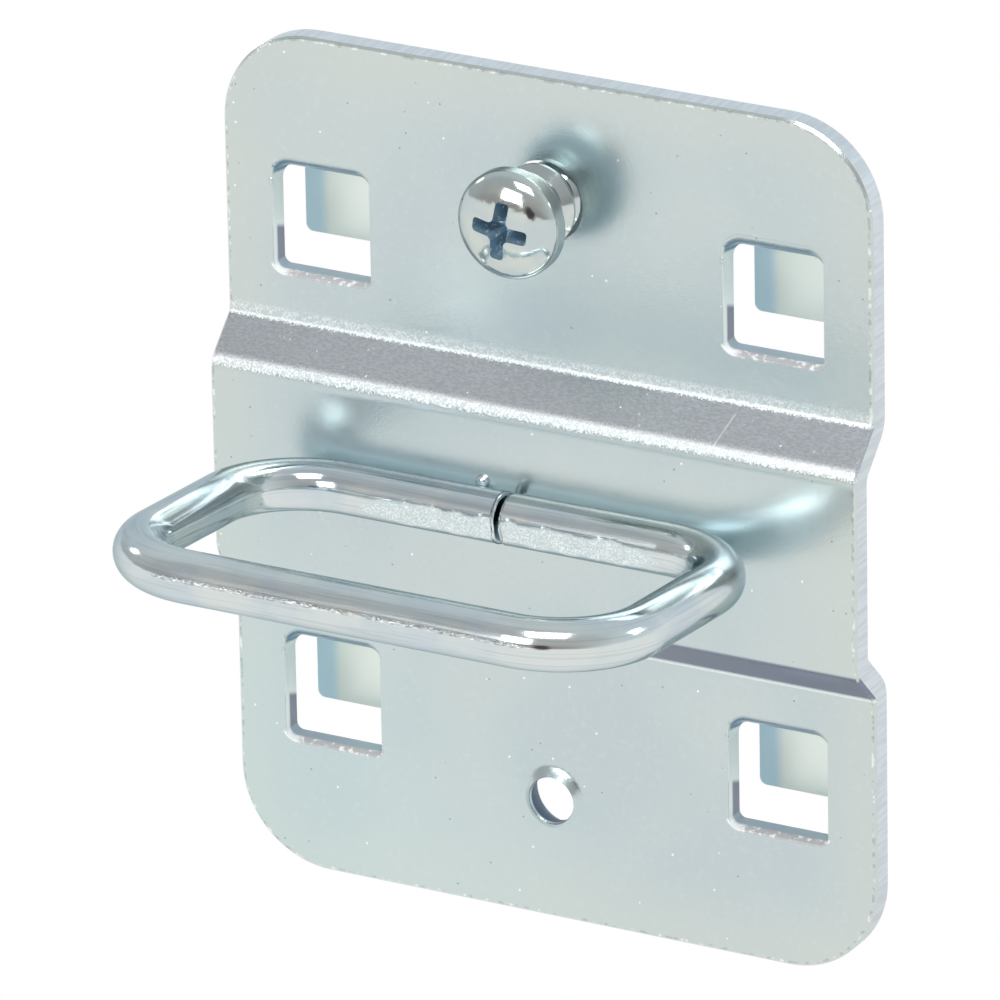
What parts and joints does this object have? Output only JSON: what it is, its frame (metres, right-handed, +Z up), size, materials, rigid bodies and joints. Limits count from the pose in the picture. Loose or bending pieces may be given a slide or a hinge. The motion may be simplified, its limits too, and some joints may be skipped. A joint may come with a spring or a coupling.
{
  "type": "pliers holder",
  "caption": "Tool panel holder: a stepped zinc-plated plate with lanced rear hooks, a welded wire loop that carries pliers, and a clamp screw.",
  "frame": {"origin": "middle of the four hooks, on the face of the panel that the plate's back rests on", "axes": "+Z up, +X to the viewer's right, +Y into the panel; the wire loop stands out towards -Y"},
  "size_m": [0.0544, 0.0377, 0.0674],
  "materials": {
    "plate_steel": "satin zinc plating on pressed sheet",
    "wire_steel": "bright zinc plating on drawn wire",
    "screw_steel": "bright zinc plating on a rolled screw"
  },
  "bodies": {
    "holder": {"back_plate": "plate_steel", "wire_loop": "wire_steel"},
    "screw": {"clamp_screw": "screw_steel"}
  },
  "joints": [
    {"name": "screw_travel", "type": "slide", "parent": "holder", "child": "screw", "axis": [0, 1, 0], "range_m": [0, 0.0037]}
  ]
}
